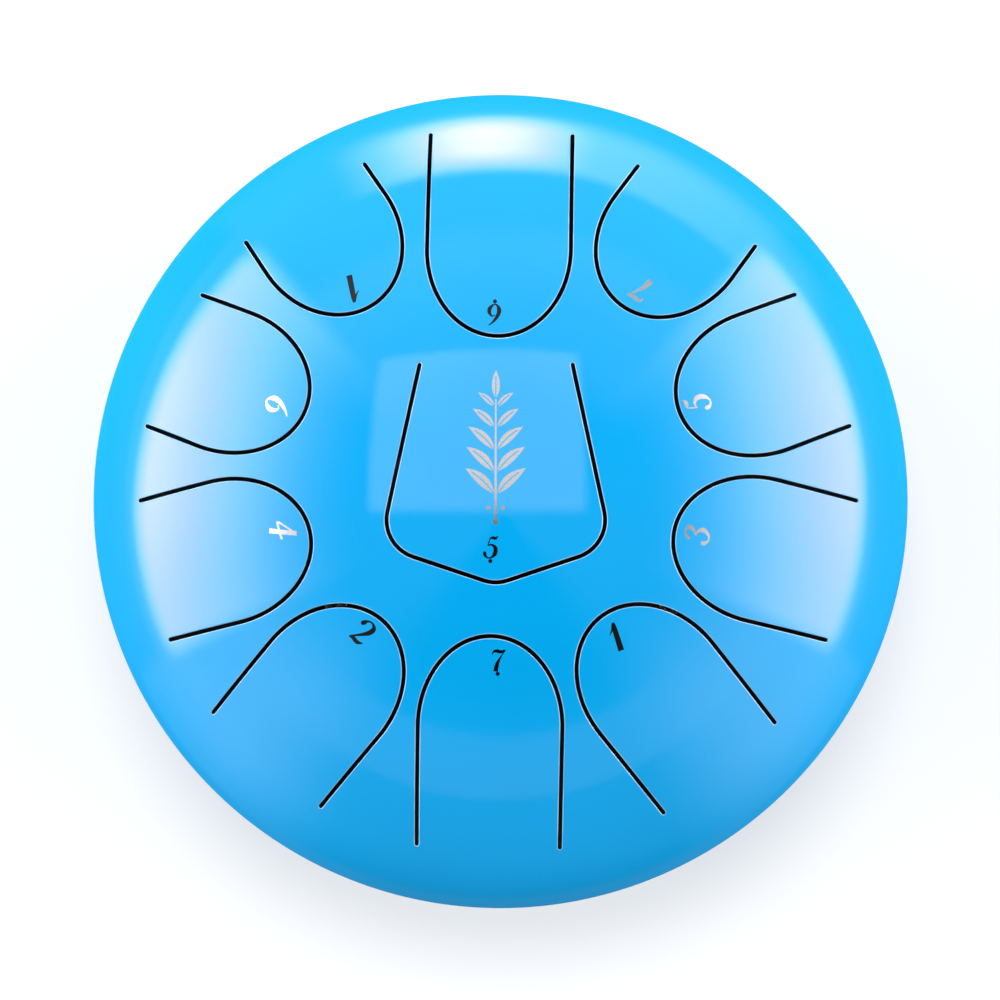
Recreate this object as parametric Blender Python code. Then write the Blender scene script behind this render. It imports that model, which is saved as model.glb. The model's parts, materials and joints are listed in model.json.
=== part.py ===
"""A steel tongue drum.

Two pressed steel domes are welded together at the rim.  Ten tongues point inwards from the rim of the
upper dome, and the eleventh fills its middle.  Each tongue bends about its root, the straight line
between the two ends of its slot.  The lower dome has a sound hole and stands on three rubber feet.

Metres, +Z up.  The origin is on the table, under the drum's centre, and +Y points at the low 6 tongue.
"""
import math

import bmesh
import bpy
from mathutils import Matrix, Vector

MM = 0.001
CLEARANCE = 0.3 * MM  # between pieces that touch on the real drum

# The body: each dome is half an ellipsoid, twice as wide as it is high.
DRUM_RADIUS = 152 * MM
DOME_RISE = DRUM_RADIUS / 2
WALL = 1.8 * MM
RIM_HEIGHT = 80 * MM
WELD_HEIGHT = 2.4 * MM
WELD_BULGE = 0.8 * MM
SOUND_HOLE_RADIUS = 45 * MM

# The slots, all cut straight down.
SLOT = 1.5 * MM
RIM_TONGUE_WIDTH = 52.3 * MM  # between the centre lines of a slot's two legs
ARCH_DEPTH = 32.5 * MM  # a rim tongue's tip is half an ellipse, this deep
ROOT_RADIUS = 132 * MM  # the legs end on this circle

# Rim tongues: direction in degrees from +X, distance of the tip from the drum's axis, root circle.
RIM_TONGUES = {
    "low_6": (89.5, 55.5 * MM, 136 * MM),
    "low_7": (268.5, 53 * MM, ROOT_RADIUS),
    "1": (309, 59.5 * MM, ROOT_RADIUS),
    "2": (229, 62.5 * MM, ROOT_RADIUS),
    "3": (347.5, 66 * MM, ROOT_RADIUS),
    "4": (192.5, 69 * MM, ROOT_RADIUS),
    "5": (22.5, 72 * MM, ROOT_RADIUS),
    "6": (157.5, 75 * MM, ROOT_RADIUS),
    "7": (55.5, 81 * MM, ROOT_RADIUS),
    "high_1": (123.5, 81 * MM, ROOT_RADIUS),
}

# The middle tongue, low 5: a bell shape with its root towards +Y and a blunt point towards -Y.
MIDDLE_ROOT_HALF = 27.5 * MM
MIDDLE_ROOT_Y = 45.7 * MM
MIDDLE_SHOULDER_HALF = 41.7 * MM
MIDDLE_SHOULDER_Y = -20.5 * MM
MIDDLE_TIP_Y = -34.5 * MM
MIDDLE_CORNER_RADIUS = 14 * MM

# The feet and their fasteners, all M4.
FOOT_RING_RADIUS = 75 * MM
FOOT_DIRECTIONS = {"rear": 90, "left": 210, "right": 330}
FOOT_TOP_RADIUS = 14 * MM
FOOT_BASE_RADIUS = 12 * MM
FOOT_BLANK_LENGTH = 20 * MM  # before its base is cut level with the table
FOOT_RECESS_RADIUS = 6.5 * MM
FOOT_WEB = 5 * MM  # rubber between the dome and the washer
SCREW_RADIUS = 2 * MM
SCREW_HOLE_RADIUS = SCREW_RADIUS + CLEARANCE
SCREW_LENGTH = 15 * MM
HEAD_RADIUS = 4 * MM
HEAD_HEIGHT = 3 * MM
CROSS_LENGTH = 4.2 * MM
CROSS_WIDTH = 0.9 * MM
CROSS_DEPTH = 1.6 * MM
FOOT_WASHER_RADIUS = 6 * MM
INNER_WASHER_RADIUS = 4.5 * MM
WASHER_THICKNESS = 0.8 * MM
NUT_WIDTH = 7 * MM
NUT_CORNER_RADIUS = NUT_WIDTH / math.sqrt(3)
NUT_HEIGHT = 3.2 * MM
NUT_CHAMFER = math.radians(30)
POINT_CHAMFER = 0.5 * MM
TABLE_CUT_RADIUS = 2 * FOOT_TOP_RADIUS

# How finely the curves are divided.
DOME_SEGMENTS = 64
DOME_RINGS = 9
ARCH_STEPS = 14
CORNER_STEPS = 5
BEAD_STEPS = 4
SMALL_SEGMENTS = 24
CUTTER_LOW = RIM_HEIGHT + 10 * MM
CUTTER_HIGH = RIM_HEIGHT + DOME_RISE + 10 * MM
SMOOTH_BELOW = math.radians(35)


def clear_scene():
    for thing in list(bpy.data.objects):
        bpy.data.objects.remove(thing, do_unlink=True)


def material(name, colour, roughness, metallic):
    made = bpy.data.materials.new(name)
    made.use_nodes = True
    shader = made.node_tree.nodes["Principled BSDF"]
    shader.inputs["Base Color"].default_value = (*colour, 1)
    shader.inputs["Roughness"].default_value = roughness
    shader.inputs["Metallic"].default_value = metallic
    return made


def mesh_from(bm, name, finish):
    """Finish a closed mesh: faces outwards, round parts smooth, one material."""
    bmesh.ops.recalc_face_normals(bm, faces=bm.faces)
    mesh = bpy.data.meshes.new(name)
    bm.to_mesh(mesh)
    bm.free()
    mesh.shade_smooth()
    mesh.set_sharp_from_angle(angle=SMOOTH_BELOW)
    if finish:
        mesh.materials.append(finish)
    return mesh


def place(name, mesh, parent=None, matrix=Matrix.Identity(4)):
    thing = bpy.data.objects.new(name, mesh)
    bpy.context.scene.collection.objects.link(thing)
    thing.parent = parent
    thing.matrix_basis = matrix
    return thing


def as_cutter(thing):
    thing.hide_render = True
    thing.display_type = "WIRE"
    return thing


def boolean(thing, cutter, operation="DIFFERENCE"):
    modifier = thing.modifiers.new(operation.lower(), "BOOLEAN")
    modifier.operation = operation
    modifier.object = cutter


def turned(outline, name, finish, segments=SMALL_SEGMENTS):
    """Turn an outline of (radius, height) points about Z.  An outline that starts on the axis ends on it.

    The result is turned on by half a segment, so that no edge lies over the X or Y axis and a cutter
    that is symmetric about them meets faces and not edges.
    """
    bm = bmesh.new()
    points = [bm.verts.new((radius, 0, height)) for radius, height in outline]
    starts_on_axis = outline[0][0] == 0
    following = points[1:] if starts_on_axis else points[1:] + points[:1]
    edges = [bm.edges.new(pair) for pair in zip(points, following)]
    bmesh.ops.spin(bm, geom=points + edges, axis=(0, 0, 1), cent=(0, 0, 0), angle=math.tau, steps=segments)
    bmesh.ops.remove_doubles(bm, verts=bm.verts, dist=0.001 * MM)
    bmesh.ops.rotate(bm, verts=bm.verts, cent=(0, 0, 0), matrix=Matrix.Rotation(math.pi / segments, 3, "Z"))
    return mesh_from(bm, name, finish)


def prism(outline, low, high, name, finish=None):
    """Extrude an outline of (x, y) points from one height to another."""
    bm = bmesh.new()
    base = bm.faces.new([bm.verts.new((x, y, low)) for x, y in outline])
    raised = bmesh.ops.extrude_face_region(bm, geom=[base])["geom"]
    corners = [item for item in raised if isinstance(item, bmesh.types.BMVert)]
    bmesh.ops.translate(bm, vec=(0, 0, high - low), verts=corners)
    return mesh_from(bm, name, finish)


def tube(outer, inner, low, high, name, finish):
    return turned([(outer, low), (outer, high), (inner, high), (inner, low)], name, finish)


# The domes

def dome_point(radius, depth=0.0):
    """A point of the upper dome's section, at a depth below its outer surface.  Heights start at the rim."""
    height = DOME_RISE * math.sqrt(1 - (radius / DRUM_RADIUS) ** 2)
    normal = dome_normal(radius)
    return radius - depth * normal.x, height - depth * normal.y


def dome_normal(radius):
    """The outward (radial, upward) direction of the dome's outer surface."""
    upward = math.sqrt(1 - (radius / DRUM_RADIUS) ** 2)
    return Vector((radius / DRUM_RADIUS * DOME_RISE / DRUM_RADIUS, upward)).normalized()


def dome_arc(start_radius, depth=0.0):
    """Points of a dome's section from start_radius out to the rim, spaced evenly in the ellipse's angle."""
    edge = WELD_HEIGHT / 2 + CLEARANCE
    start = math.asin(start_radius / DRUM_RADIUS)
    end = math.acos(edge / DOME_RISE)
    angles = [start + (end - start) * step / DOME_RINGS for step in range(DOME_RINGS + 1)]
    arc = [dome_point(DRUM_RADIUS * math.sin(angle), depth) for angle in angles]
    arc[0] = (start_radius, arc[0][1])
    arc[-1] = (arc[-1][0], edge)
    return arc


def upper_dome(finish):
    section = dome_arc(0) + dome_arc(0, WALL)[::-1]
    raised = [(radius, RIM_HEIGHT + height) for radius, height in section]
    return turned(raised, "upper_dome", finish, DOME_SEGMENTS)


def lower_dome(finish):
    section = dome_arc(SOUND_HOLE_RADIUS) + dome_arc(SOUND_HOLE_RADIUS, WALL)[::-1]
    hung = [(radius, RIM_HEIGHT - height) for radius, height in section]
    return turned(hung, "lower_dome", finish, DOME_SEGMENTS)


def weld_ring(finish):
    """The rim's weld: flush outside, with a half-round bead inside."""
    half = WELD_HEIGHT / 2
    section = [(DRUM_RADIUS, RIM_HEIGHT - half), (DRUM_RADIUS, RIM_HEIGHT + half)]
    for step in range(BEAD_STEPS + 1):
        angle = math.pi * step / BEAD_STEPS
        radius = DRUM_RADIUS - WALL - WELD_BULGE * math.sin(angle)
        section.append((radius, RIM_HEIGHT + half * math.cos(angle)))
    return turned(section, "rim_weld", finish, DOME_SEGMENTS)


# The tongues

def rim_reach(root_radius):
    """Distance from the drum's axis to a rim tongue's straight root, along the tongue."""
    return math.sqrt(root_radius ** 2 - (RIM_TONGUE_WIDTH / 2) ** 2)


def rim_outline(note, grow, root_gap=0.0):
    """A rim tongue's outline seen from above, grown past its slot's centre line by a little."""
    direction, tip_radius, root_radius = RIM_TONGUES[note]
    root = rim_reach(root_radius) - root_gap
    half = RIM_TONGUE_WIDTH / 2 + grow
    outline = [(root, half)]
    for step in range(ARCH_STEPS + 1):
        angle = math.pi * step / ARCH_STEPS
        along = tip_radius + ARCH_DEPTH - (ARCH_DEPTH + grow) * math.sin(angle)
        outline.append((along, half * math.cos(angle)))
    outline.append((root, -half))
    turn = Matrix.Rotation(math.radians(direction), 2)
    return [tuple(turn @ Vector(point)) for point in outline]


def moved_side(start, end, outwards):
    """A side of an anticlockwise outline as a point on it and its direction, moved outwards."""
    along = (Vector(end) - Vector(start)).normalized()
    return Vector(start) + outwards * Vector((along.y, -along.x)), along


def meeting(first, second):
    """The point where two lines meet, each given as a point and a direction."""
    (one, along), (two, across) = first, second
    gap = two - one
    return one + along * (gap.cross(across) / along.cross(across))


def rounded(before, corner, after, radius):
    """Points of the arc that rounds a corner of an outline."""
    back, on = (before - corner).normalized(), (after - corner).normalized()
    half = back.angle(on) / 2
    centre = corner + (back + on).normalized() * (radius / math.sin(half))
    start = corner + back * (radius / math.tan(half)) - centre
    sweep = math.copysign(math.pi - 2 * half, start.cross(on))
    angles = [sweep * step / CORNER_STEPS for step in range(CORNER_STEPS + 1)]
    return [centre + Matrix.Rotation(angle, 2) @ start for angle in angles]


def middle_outline(grow, root_gap=0.0):
    """The middle tongue's outline seen from above, grown past its slot's centre line by a little."""
    corners = [
        (-MIDDLE_ROOT_HALF, MIDDLE_ROOT_Y),
        (-MIDDLE_SHOULDER_HALF, MIDDLE_SHOULDER_Y),
        (0, MIDDLE_TIP_Y),
        (MIDDLE_SHOULDER_HALF, MIDDLE_SHOULDER_Y),
        (MIDDLE_ROOT_HALF, MIDDLE_ROOT_Y),
    ]
    slotted = [moved_side(start, end, grow) for start, end in zip(corners, corners[1:])]
    root = moved_side(corners[-1], corners[0], -root_gap)
    sides = [root, *slotted, root]
    grown = [meeting(first, second) for first, second in zip(sides, sides[1:])]
    outline = [grown[0]]
    for before, corner, after in zip(grown, grown[1:], grown[2:]):
        outline += rounded(before, corner, after, MIDDLE_CORNER_RADIUS + grow)
    return [tuple(point) for point in [*outline, grown[-1]]]


def tongue_outline(note, grow, root_gap=0.0):
    return middle_outline(grow, root_gap) if note == "low_5" else rim_outline(note, grow, root_gap)


def tongue_hinge(note):
    """The middle of a tongue's root line, halfway through the wall, with local Y along the line."""
    if note == "low_5":
        direction, along, half = 90, MIDDLE_ROOT_Y, MIDDLE_ROOT_HALF
    else:
        direction, _, root_radius = RIM_TONGUES[note]
        along, half = rim_reach(root_radius), RIM_TONGUE_WIDTH / 2
    mean_radius = math.hypot(along, half / math.sqrt(3))  # where the curved root has its mean height
    height = RIM_HEIGHT + dome_point(mean_radius, WALL / 2)[1]
    return Matrix.Rotation(math.radians(direction), 4, "Z") @ Matrix.Translation((along, 0, height))


def opening_cutters(notes):
    """One mesh of prisms that cuts every tongue's opening in the upper dome."""
    bm = bmesh.new()
    for note in notes:
        mesh = prism(tongue_outline(note, SLOT / 2), CUTTER_LOW, CUTTER_HIGH, "opening_" + note)
        bm.from_mesh(mesh)
    return as_cutter(place("tongue_openings", mesh_from(bm, "tongue_openings", None)))


def build_tongue(note, dome):
    """A tongue is the upper dome's own sheet inside its slot, under an empty on its root line."""
    hinge = place("hinge_" + note, None, None, tongue_hinge(note))
    tongue = place("tongue_" + note, dome, hinge, tongue_hinge(note).inverted())
    inside = prism(tongue_outline(note, -SLOT / 2, CLEARANCE), CUTTER_LOW, CUTTER_HIGH, "shape_" + note)
    boolean(tongue, as_cutter(place("shape_" + note, inside, tongue)), "INTERSECT")


# The feet.  Each stands on its own axis, square to the dome: local +Z points out of the drum.

def foot_frame(direction):
    radius, height = dome_point(FOOT_RING_RADIUS)
    normal = dome_normal(FOOT_RING_RADIUS)
    lean = math.pi - math.atan2(normal.x, normal.y)
    turn = Matrix.Rotation(math.radians(direction), 4, "Z")
    return turn @ Matrix.Translation((radius, 0, RIM_HEIGHT - height)) @ Matrix.Rotation(lean, 4, "Y")


def foot_blank(finish):
    seat = CLEARANCE + FOOT_WEB
    section = [
        (FOOT_TOP_RADIUS, CLEARANCE),
        (FOOT_BASE_RADIUS, FOOT_BLANK_LENGTH),
        (FOOT_RECESS_RADIUS, FOOT_BLANK_LENGTH),
        (FOOT_RECESS_RADIUS, seat),
        (SCREW_HOLE_RADIUS, seat),
        (SCREW_HOLE_RADIUS, CLEARANCE),
    ]
    return turned(section, "foot", finish)


def screw(under_head, finish):
    """A pan-head screw: the head's rounded side faces out, and the shank's end is chamfered."""
    point = under_head - SCREW_LENGTH
    section = [(0, point), (SCREW_RADIUS - POINT_CHAMFER, point), (SCREW_RADIUS, point + POINT_CHAMFER)]
    section += [(SCREW_RADIUS, under_head), (HEAD_RADIUS, under_head)]
    shoulder = HEAD_HEIGHT / 2
    for step in range(BEAD_STEPS):
        angle = math.pi / 2 * step / BEAD_STEPS
        section.append((HEAD_RADIUS * math.cos(angle), under_head + shoulder * (1 + math.sin(angle))))
    section.append((0, under_head + HEAD_HEIGHT))
    return turned(section, "screw", finish)


def cross_recess(top):
    """A plus-shaped prism that cuts the driver's recess in a screw head."""
    long, short = CROSS_LENGTH / 2, CROSS_WIDTH / 2
    outline = []
    for quarter in range(4):
        turn = Matrix.Rotation(math.pi / 2 * quarter, 2)
        outline += [tuple(turn @ Vector(point)) for point in [(long, -short), (long, short), (short, short)]]
    return prism(outline, top - CROSS_DEPTH, top + HEAD_HEIGHT, "cross_recess")


def hexagon(radius):
    angles = [math.tau * corner / 6 for corner in range(6)]
    return [(radius * math.cos(angle), radius * math.sin(angle)) for angle in angles]


def nut_chamfer(low, high):
    """A turned blank, a little wider than a nut, that takes off the nut's corners at both ends."""
    flat, beyond = NUT_WIDTH / 2, NUT_CORNER_RADIUS + CLEARANCE
    drop = (beyond - flat) * math.tan(NUT_CHAMFER)
    section = [(0, low), (flat, low), (beyond, low + drop), (beyond, high - drop), (flat, high), (0, high)]
    return turned(section, "nut_chamfer", None)


def build_foot(side, direction, finishes):
    frame = place("foot_axis_" + side, None, None, foot_frame(direction))
    head_washer_low = 2 * CLEARANCE + FOOT_WEB
    under_head = head_washer_low + WASHER_THICKNESS + CLEARANCE
    inner_washer_high = -WALL - CLEARANCE
    nut_high = inner_washer_high - WASHER_THICKNESS - CLEARANCE
    nut_low = nut_high - NUT_HEIGHT

    foot = place("foot_" + side, foot_blank(finishes["rubber"]), frame)
    table = prism(hexagon(TABLE_CUT_RADIUS), -FOOT_BLANK_LENGTH, 0, "table_cut")
    around_foot = Matrix.Translation((frame.location.x, frame.location.y, 0))
    boolean(foot, as_cutter(place("table_cut_" + side, table, None, around_foot)))

    driven = place("screw_" + side, screw(under_head, finishes["steel"]), frame)
    recess = cross_recess(under_head + HEAD_HEIGHT)
    boolean(driven, as_cutter(place("recess_" + side, recess, frame)))

    head_washer = tube(FOOT_WASHER_RADIUS, SCREW_HOLE_RADIUS, head_washer_low,
                       head_washer_low + WASHER_THICKNESS, "foot_washer", finishes["steel"])
    place("foot_washer_" + side, head_washer, frame)
    inner_washer = tube(INNER_WASHER_RADIUS, SCREW_HOLE_RADIUS, inner_washer_high - WASHER_THICKNESS,
                        inner_washer_high, "inner_washer", finishes["steel"])
    place("inner_washer_" + side, inner_washer, frame)

    nut_blank = prism(hexagon(NUT_CORNER_RADIUS), nut_low, nut_high, "nut", finishes["steel"])
    nut = place("nut_" + side, nut_blank, frame)
    boolean(nut, as_cutter(place("nut_chamfer_" + side, nut_chamfer(nut_low, nut_high), frame)), "INTERSECT")
    bore = turned([(0, nut_low - MM), (SCREW_HOLE_RADIUS, nut_low - MM), (SCREW_HOLE_RADIUS, nut_high + MM),
                   (0, nut_high + MM)], "nut_bore", None)
    boolean(nut, as_cutter(place("nut_bore_" + side, bore, frame)))


def screw_hole_cutter(side, direction):
    drill = turned([(0, -2 * WALL), (SCREW_HOLE_RADIUS, -2 * WALL), (SCREW_HOLE_RADIUS, WALL), (0, WALL)],
                   "screw_hole", None)
    return as_cutter(place("screw_hole_" + side, drill, None, foot_frame(direction)))


def build_drum():
    enamel = material("sky_blue_enamel", (0.001, 0.39, 0.86), 0.22, 0.0)
    finishes = {
        "rubber": material("black_rubber", (0.012, 0.012, 0.013), 0.75, 0.0),
        "steel": material("zinc_plated_steel", (0.62, 0.63, 0.65), 0.3, 1.0),
    }
    dome = upper_dome(enamel)
    notes = ["low_5", *RIM_TONGUES]
    boolean(place("top_shell", dome), opening_cutters(notes))
    for note in notes:
        build_tongue(note, dome)

    bottom_shell = place("bottom_shell", lower_dome(enamel))
    place("rim_weld", weld_ring(enamel))
    for side, direction in FOOT_DIRECTIONS.items():
        boolean(bottom_shell, screw_hole_cutter(side, direction))
        build_foot(side, direction, finishes)


clear_scene()
build_drum()
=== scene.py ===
"""Looks for the steel tongue drum: fine enamelled sheet metal, etched digits, feet and fasteners."""
import json
import math

import bpy
import numpy as np
from mathutils import Matrix, Vector, geometry, kdtree


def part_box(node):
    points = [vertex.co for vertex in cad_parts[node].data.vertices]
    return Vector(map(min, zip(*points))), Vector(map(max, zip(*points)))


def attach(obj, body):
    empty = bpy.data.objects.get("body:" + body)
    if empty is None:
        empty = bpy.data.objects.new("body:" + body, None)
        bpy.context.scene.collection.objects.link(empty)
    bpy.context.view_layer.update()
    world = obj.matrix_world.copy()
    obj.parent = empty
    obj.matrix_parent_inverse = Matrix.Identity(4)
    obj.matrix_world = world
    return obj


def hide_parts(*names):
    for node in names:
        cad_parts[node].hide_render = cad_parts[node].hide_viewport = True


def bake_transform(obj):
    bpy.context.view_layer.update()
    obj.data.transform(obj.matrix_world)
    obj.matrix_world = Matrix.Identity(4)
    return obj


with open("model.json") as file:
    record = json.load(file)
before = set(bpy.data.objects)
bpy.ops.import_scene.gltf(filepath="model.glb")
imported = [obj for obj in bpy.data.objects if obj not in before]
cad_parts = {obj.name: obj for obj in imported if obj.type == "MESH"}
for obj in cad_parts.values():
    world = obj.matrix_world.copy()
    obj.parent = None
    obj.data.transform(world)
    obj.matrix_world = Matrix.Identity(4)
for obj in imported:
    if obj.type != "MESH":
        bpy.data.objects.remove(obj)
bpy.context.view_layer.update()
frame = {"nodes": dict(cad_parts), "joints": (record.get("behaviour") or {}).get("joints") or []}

MM = 0.001
DRUM = "drum_body"

# ---- Sizes.  The body's size and every rim tongue's place come from the frame.

WALL = 1.8 * MM
SLOT = 1.5 * MM
ARCH_DEPTH = 32.5 * MM
EDGE_ROUND = 0.35 * MM  # rounding of the sheet's outer edge along slots and holes
ETCH_DEPTH = 0.12 * MM
MIDDLE_CORNERS = [(-27.5, 45.7), (-41.7, -20.5), (0, -34.5), (41.7, -20.5), (27.5, 45.7)]  # mm
MIDDLE_ROUND = 14 * MM
ARCH_STEPS = 60
CORNER_STEPS = 10
CAP_STEPS = 12
SOUND_HOLE_RADIUS = 45 * MM

SHEET_STEP = 3 * MM  # the outer surface's triangles
INNER_STEP = 5 * MM  # the inner surface's triangles
PATH_STEP = 1.4 * MM  # points along a slot
TINY = 1e-9


def node_points(node):
    return np.array([vertex.co for vertex in frame["nodes"][node].data.vertices])


weld_low, weld_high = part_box("rim_weld")
RIM_HEIGHT = (weld_low.z + weld_high.z) / 2
DRUM_RADIUS = float(np.hypot(*node_points("rim_weld")[:, :2].T).max())
DOME_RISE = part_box("tongue_low_5")[1].z - RIM_HEIGHT
SEAM_HALF = (weld_high.z - weld_low.z) / 2 + 0.05 * MM  # where the domes' edges meet the weld

# ---- The dome's surface.  Plan points are (x, y); inset is the depth below the outer surface.


def rise(plan, inset=0.0):
    """Height of the dome above the rim's plane at plan points."""
    share = np.hypot(plan[:, 0], plan[:, 1]) / (DRUM_RADIUS - inset)
    return (DOME_RISE - inset) * np.sqrt(np.clip(1 - share ** 2, 0, None))


def surface(plan, side, inset=0.0, drop=0.0):
    """Points on the upper (side 1) or lower (side -1) dome."""
    return np.column_stack([plan, RIM_HEIGHT + side * (rise(plan, inset) - drop)])


def unit(vectors):
    return vectors / np.linalg.norm(vectors, axis=1, keepdims=True)


def dome_normals(plan, side, inset=0.0):
    spread, lift = (DRUM_RADIUS - inset) ** 2, (DOME_RISE - inset) ** 2
    height = rise(plan, inset)
    return unit(np.column_stack([plan / spread, side * height / lift]))


def to_chart(plan, inset):
    """Unrolls plan points by the ellipse's angle, so that triangles keep their shape near the rim."""
    radius = np.maximum(np.hypot(plan[:, 0], plan[:, 1]), TINY)
    angle = np.arcsin(np.clip(radius / (DRUM_RADIUS - inset), 0, 1))
    return plan * (angle / radius)[:, None]


def from_chart(chart, inset):
    angle = np.maximum(np.hypot(chart[:, 0], chart[:, 1]), TINY)
    return chart * ((DRUM_RADIUS - inset) * np.sin(angle) / angle)[:, None]


def rim_angle(inset):
    """The ellipse's angle where a surface meets the weld."""
    return math.acos(SEAM_HALF / (DOME_RISE - inset))


# ---- Slots.  A slot is its centre line, with a normal that points away from the tongue.


def sampled(start, end):
    count = max(1, math.ceil(np.linalg.norm(np.subtract(end, start)) / PATH_STEP))
    return np.linspace(start, end, count + 1)


def turned_about(points, angle):
    cosine, sine = math.cos(angle), math.sin(angle)
    return points @ np.array([[cosine, sine], [-sine, cosine]])


def rim_slot(note):
    """Centre line and normals of a rim tongue's slot, from its node's outline and its hinge."""
    hinge = next(joint for joint in frame["joints"] if joint["child"] == "tongue_" + note)
    x, y, _ = hinge["pos_m"]
    direction = math.atan2(y, x)
    local = turned_about(node_points("tongue_" + note)[:, :2], -direction)
    half = np.abs(local[:, 1]).max() + SLOT / 2
    tip = local[:, 0].min() - SLOT / 2
    root = math.hypot(x, y) - SLOT / 2
    arch_middle = tip + ARCH_DEPTH

    leg = sampled((root, half), (arch_middle, half))[:-1]
    angles = np.linspace(0, math.pi, ARCH_STEPS + 1)
    arch = np.column_stack([arch_middle - ARCH_DEPTH * np.sin(angles), half * np.cos(angles)])
    arch_normal = unit(np.column_stack([-np.sin(angles) / ARCH_DEPTH, np.cos(angles) / half]))
    back = leg[::-1] * (1, -1)
    line = np.vstack([leg, arch, back])
    normal = np.vstack([np.tile((0, 1), (len(leg), 1)), arch_normal, np.tile((0, -1), (len(leg), 1))])
    return turned_about(line, direction), turned_about(normal, direction)


def middle_slot():
    """Centre line and normals of the middle tongue's bell-shaped slot."""
    corners = [np.array(corner) * MM for corner in MIDDLE_CORNERS]
    first = unit((corners[0] - corners[1])[None])[0]
    corners[0] = corners[0] - first * SLOT / 2
    corners[-1] = corners[0] * (-1, 1)
    line, normal = [], []
    start = corners[0]
    for before, corner, after in zip(corners, corners[1:], corners[2:]):
        along, onward = unit(np.array([corner - before, after - corner]))
        out, out_next = np.array([along[1], -along[0]]), np.array([onward[1], -onward[0]])
        turn = math.acos(along @ onward)
        trim = MIDDLE_ROUND * math.tan(turn / 2)
        side = sampled(start, corner - along * trim)[:-1]
        line.append(side)
        normal.append(np.tile(out, (len(side), 1)))
        centre = corner - along * trim - out * MIDDLE_ROUND
        blend = np.linspace(0, turn, CORNER_STEPS + 1)[:-1, None]
        arc_normal = (out * np.sin(turn - blend) + out_next * np.sin(blend)) / math.sin(turn)
        line.append(centre + arc_normal * MIDDLE_ROUND)
        normal.append(arc_normal)
        start = corner + onward * trim
    side = sampled(start, corners[-1])
    line.append(side)
    normal.append(np.tile(out_next, (len(side), 1)))
    return np.vstack(line), np.vstack(normal)


def caps(line, normal, offset):
    """The slot's two round ends, each from the tongue's side round to the dome's side."""
    angles = np.linspace(0, math.pi, CAP_STEPS + 1)[:-1, None]
    ends = []
    for end, neighbour in ((0, 1), (-1, -2)):
        beyond = line[end] - line[neighbour]
        onward = beyond / np.linalg.norm(beyond)
        ends.append(line[end] + offset * (-normal[end] * np.cos(angles) + onward * np.sin(angles)))
    return ends


def tongue_path(slot, offset):
    """The tongue's side of a slot, this far from the centre line, from one root corner to the other."""
    line, normal = slot
    return line - normal * offset


def dome_path(slot, offset):
    """The dome's side of a slot, from one root corner round both ends to the other."""
    line, normal = slot
    first, last = caps(line, normal, offset)
    return np.vstack([first, line + normal * offset, last[::-1]])


# ---- Etched marks.  Every mark is a set of ribbons: strokes of changing width along a smooth line.

DIGIT_HEIGHT = 9.7 * MM
LOW_DIGIT_HEIGHT = 8.1 * MM
DIGIT_STRETCH = 1.12
DIGIT_PLACES = {  # mm to the right of a tongue's middle line, and out from its slot's tip
    "low_5": (-1.9, 12.5), "low_6": (1.1, 7.9), "low_7": (2.4, 8.6), "1": (0.9, 9.2), "2": (-2.6, 7.7),
    "3": (-0.2, 8.4), "4": (-3.0, 9.7), "5": (0.9, 7.5), "6": (1.7, 10.3), "7": (-1.9, 9.0),
    "high_1": (3.7, 9.4),
}
DOT_RADIUS = 0.75 * MM
DOT_DROP = 1.1 * DOT_RADIUS  # from a low digit's foot to its dot's middle
DISC_COUNT = 20
CURVE_STEPS = 5
THINNEST = 0.01  # of a stroke

# Italic digits.  A stroke is a list of (x, y, width), in hundredths of the digit's height.
DIGITS = {
    "1": [
        [(10, 0, 20), (24, 40, 19), (38, 80, 17), (46, 100, 10)],
        [(12, 70, 3), (27, 80, 6), (42, 97, 7)],
    ],
    "2": [
        [(13, 66, 5), (13, 75, 17), (22, 91, 8), (38, 96, 7), (53, 84, 15), (50, 62, 17), (32, 36, 10),
         (6, 6, 5)],
        [(5, 4, 6), (18, 9, 14), (38, 6, 15), (56, 16, 3)],
    ],
    "3": [
        [(16, 72, 6), (17, 80, 14), (26, 93, 7), (42, 95, 8), (52, 82, 15), (44, 64, 10), (28, 54, 4)],
        [(30, 54, 4), (45, 48, 10), (52, 30, 16), (40, 9, 10), (24, 4, 7), (11, 13, 12), (9, 24, 14),
         (12, 30, 5)],
    ],
    "4": [
        [(26, 0, 17), (40, 45, 16), (56, 100, 15)],
        [(52, 94, 5), (29, 68, 6), (4, 40, 7)],
        [(2, 36, 8), (30, 37, 9), (64, 40, 9)],
    ],
    "5": [
        [(30, 90, 6), (40, 93, 13), (52, 91, 14), (62, 100, 3)],
        [(31, 92, 5), (26, 75, 5), (22, 58, 5)],
        [(22, 58, 4), (36, 62, 9), (51, 48, 16), (49, 22, 17), (34, 5, 8), (19, 5, 7), (10, 15, 12),
         (9, 26, 14), (12, 32, 5)],
    ],
    "6": [
        [(55, 100, 4), (36, 82, 10), (18, 52, 16), (14, 26, 17), (24, 6, 8), (36, 5, 7), (51, 22, 16),
         (52, 42, 14), (42, 57, 7), (30, 52, 4)],
    ],
    "7": [
        [(8, 74, 3), (12, 86, 8), (24, 91, 15), (42, 88, 14), (60, 97, 4)],
        [(58, 95, 5), (42, 66, 6), (28, 34, 15), (22, 0, 18)],
    ],
}
DIGIT_MIDDLE = np.array((0.31, 0.5))

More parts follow.
